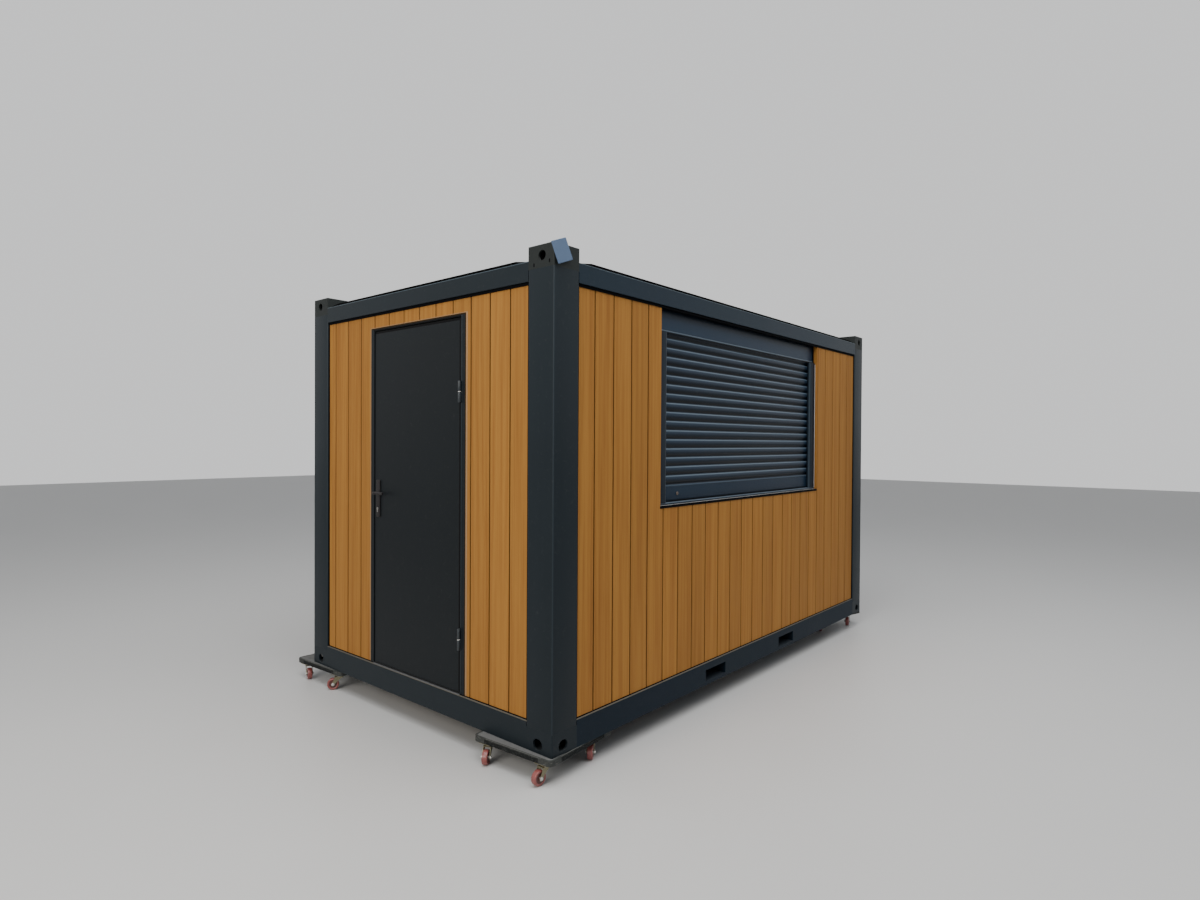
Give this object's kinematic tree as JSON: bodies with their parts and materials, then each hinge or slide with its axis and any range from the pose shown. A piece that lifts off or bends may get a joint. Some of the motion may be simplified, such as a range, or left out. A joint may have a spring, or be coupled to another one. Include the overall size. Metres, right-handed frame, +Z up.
{
  "type": "kiosk container",
  "caption": "Steel-framed office container clad in wood-look boards, with a hinged door in one end and a closed roller shutter in one long side, standing on caster dollies.",
  "frame": {"origin": "on the floor, straight under the middle of the container", "axes": "+X along the container away from the door end, +Y across it away from the roller shutter, +Z up"},
  "size_m": [4.4819, 2.6193, 2.7738],
  "materials": {
    "frame_paint": "anthracite grey semi-matt paint on steel",
    "door_paint": "anthracite grey semi-matt paint",
    "shutter_paint": "anthracite grey satin paint on rolled aluminium",
    "cladding_boards": "golden brown wood-look boards, matt, fine grain",
    "wall_panel": "light grey coated sheet",
    "floor_plywood": "sealed plywood",
    "roof_metal": "painted sheet steel",
    "primer_steel": "grey primer on steel",
    "bare_metal": "ribbed mill-finish strip",
    "handle_paint": "dark grey satin powder coat",
    "cylinder_metal": "satin nickel",
    "cover_paint": "light blue-grey paint",
    "dolly_board": "light grey top over a dark rim",
    "zinc_plate": "pale yellow zinc plate",
    "wheel_tread": "red polyurethane, satin"
  },
  "bodies": {
    "container": {"bottom_corner_castings": "frame_paint", "top_corner_castings": "frame_paint", "corner_posts": "frame_paint", "bottom_rail_shutter_side": "frame_paint", "bottom_rail_back_side": "frame_paint", "bottom_end_rails": "frame_paint", "forklift_pockets": "frame_paint", "floor_beams": "primer_steel", "floor_board": "floor_plywood", "top_long_rails": "frame_paint", "top_end_rails": "frame_paint", "ceiling_panel": "wall_panel", "roof_beams": "primer_steel", "roof_sheet": "roof_metal", "shutter_wall_left_panel": "wall_panel", "shutter_wall_right_panel": "wall_panel", "shutter_wall_lower_panel": "wall_panel", "back_wall_panel": "wall_panel", "far_end_wall_panel": "wall_panel", "door_wall_left_panel": "wall_panel", "door_wall_right_panel": "wall_panel", "door_wall_top_panel": "wall_panel", "shutter_wall_cladding": "cladding_boards", "back_wall_cladding": "cladding_boards", "far_end_cladding": "cladding_boards", "door_wall_cladding": "cladding_boards", "door_frame": "door_paint", "door_threshold": "bare_metal", "frame_hinges": "door_paint", "shutter_sill": "shutter_paint", "shutter_guides": "shutter_paint", "shutter_box": "shutter_paint", "shutter_curtain": "shutter_paint", "shutter_bottom_bar": "shutter_paint", "shutter_lock": "cylinder_metal", "corner_cover_plate": "cover_paint", "dolly_boards": "dolly_board", "caster_forks": "zinc_plate", "caster_wheels": "wheel_tread", "caster_axles": "zinc_plate"},
    "door": {"door_leaf": "door_paint", "leaf_hinges": "door_paint", "handle_plates": "handle_paint", "lock_cylinder": "cylinder_metal"},
    "lever": {"lever_handle": "handle_paint"}
  },
  "joints": [
    {"name": "door_hinge", "type": "hinge", "parent": "container", "child": "door", "pos_m": [-2.0983, -0.4525, 1.3], "axis": [0, 0, 1], "range_deg": [0, 165]},
    {"name": "lever_turn", "type": "hinge", "parent": "door", "child": "lever", "pos_m": [-2.0625, 0.388, 1.4], "axis": [1, 0, 0], "range_deg": [0, 40], "stiffness_Nm_per_rad": 1.5, "springref_deg": -22.92}
  ]
}
